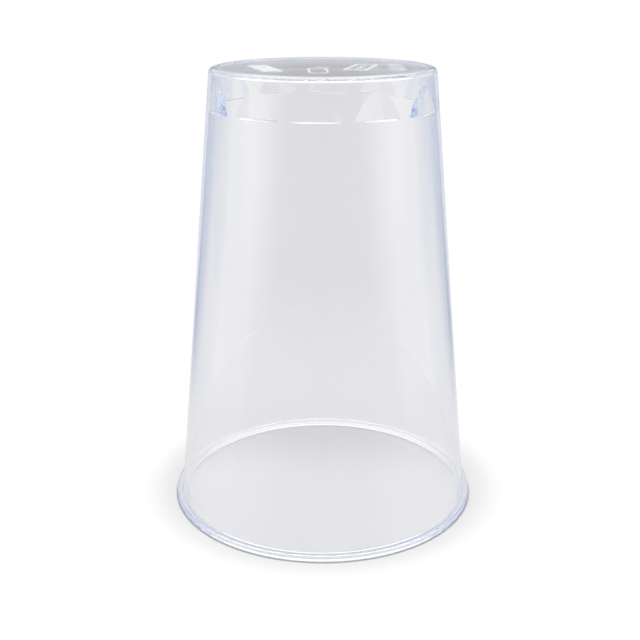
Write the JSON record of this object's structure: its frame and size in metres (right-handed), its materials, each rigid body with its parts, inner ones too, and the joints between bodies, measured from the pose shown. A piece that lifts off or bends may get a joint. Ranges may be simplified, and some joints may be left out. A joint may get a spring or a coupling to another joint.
{
  "type": "tumbler cup",
  "caption": "Clear moulded drinking cup with a straight taper, a bead round its mouth, a foot ring, and stacking ledges inside near the foot.",
  "frame": {"origin": "centre of the mouth, on the surface that the upturned cup stands on", "axes": "+Z along the cup's axis from the mouth to the foot, so the cup stands upside down as in the picture; +X and +Y each point at the middle of a stacking pad"},
  "size_m": [0.0776, 0.0776, 0.11],
  "materials": {
    "tumbler": "clear crystal polystyrene, polished mould surface"
  },
  "bodies": {
    "root": {"tumbler": "tumbler"}
  },
  "joints": []
}
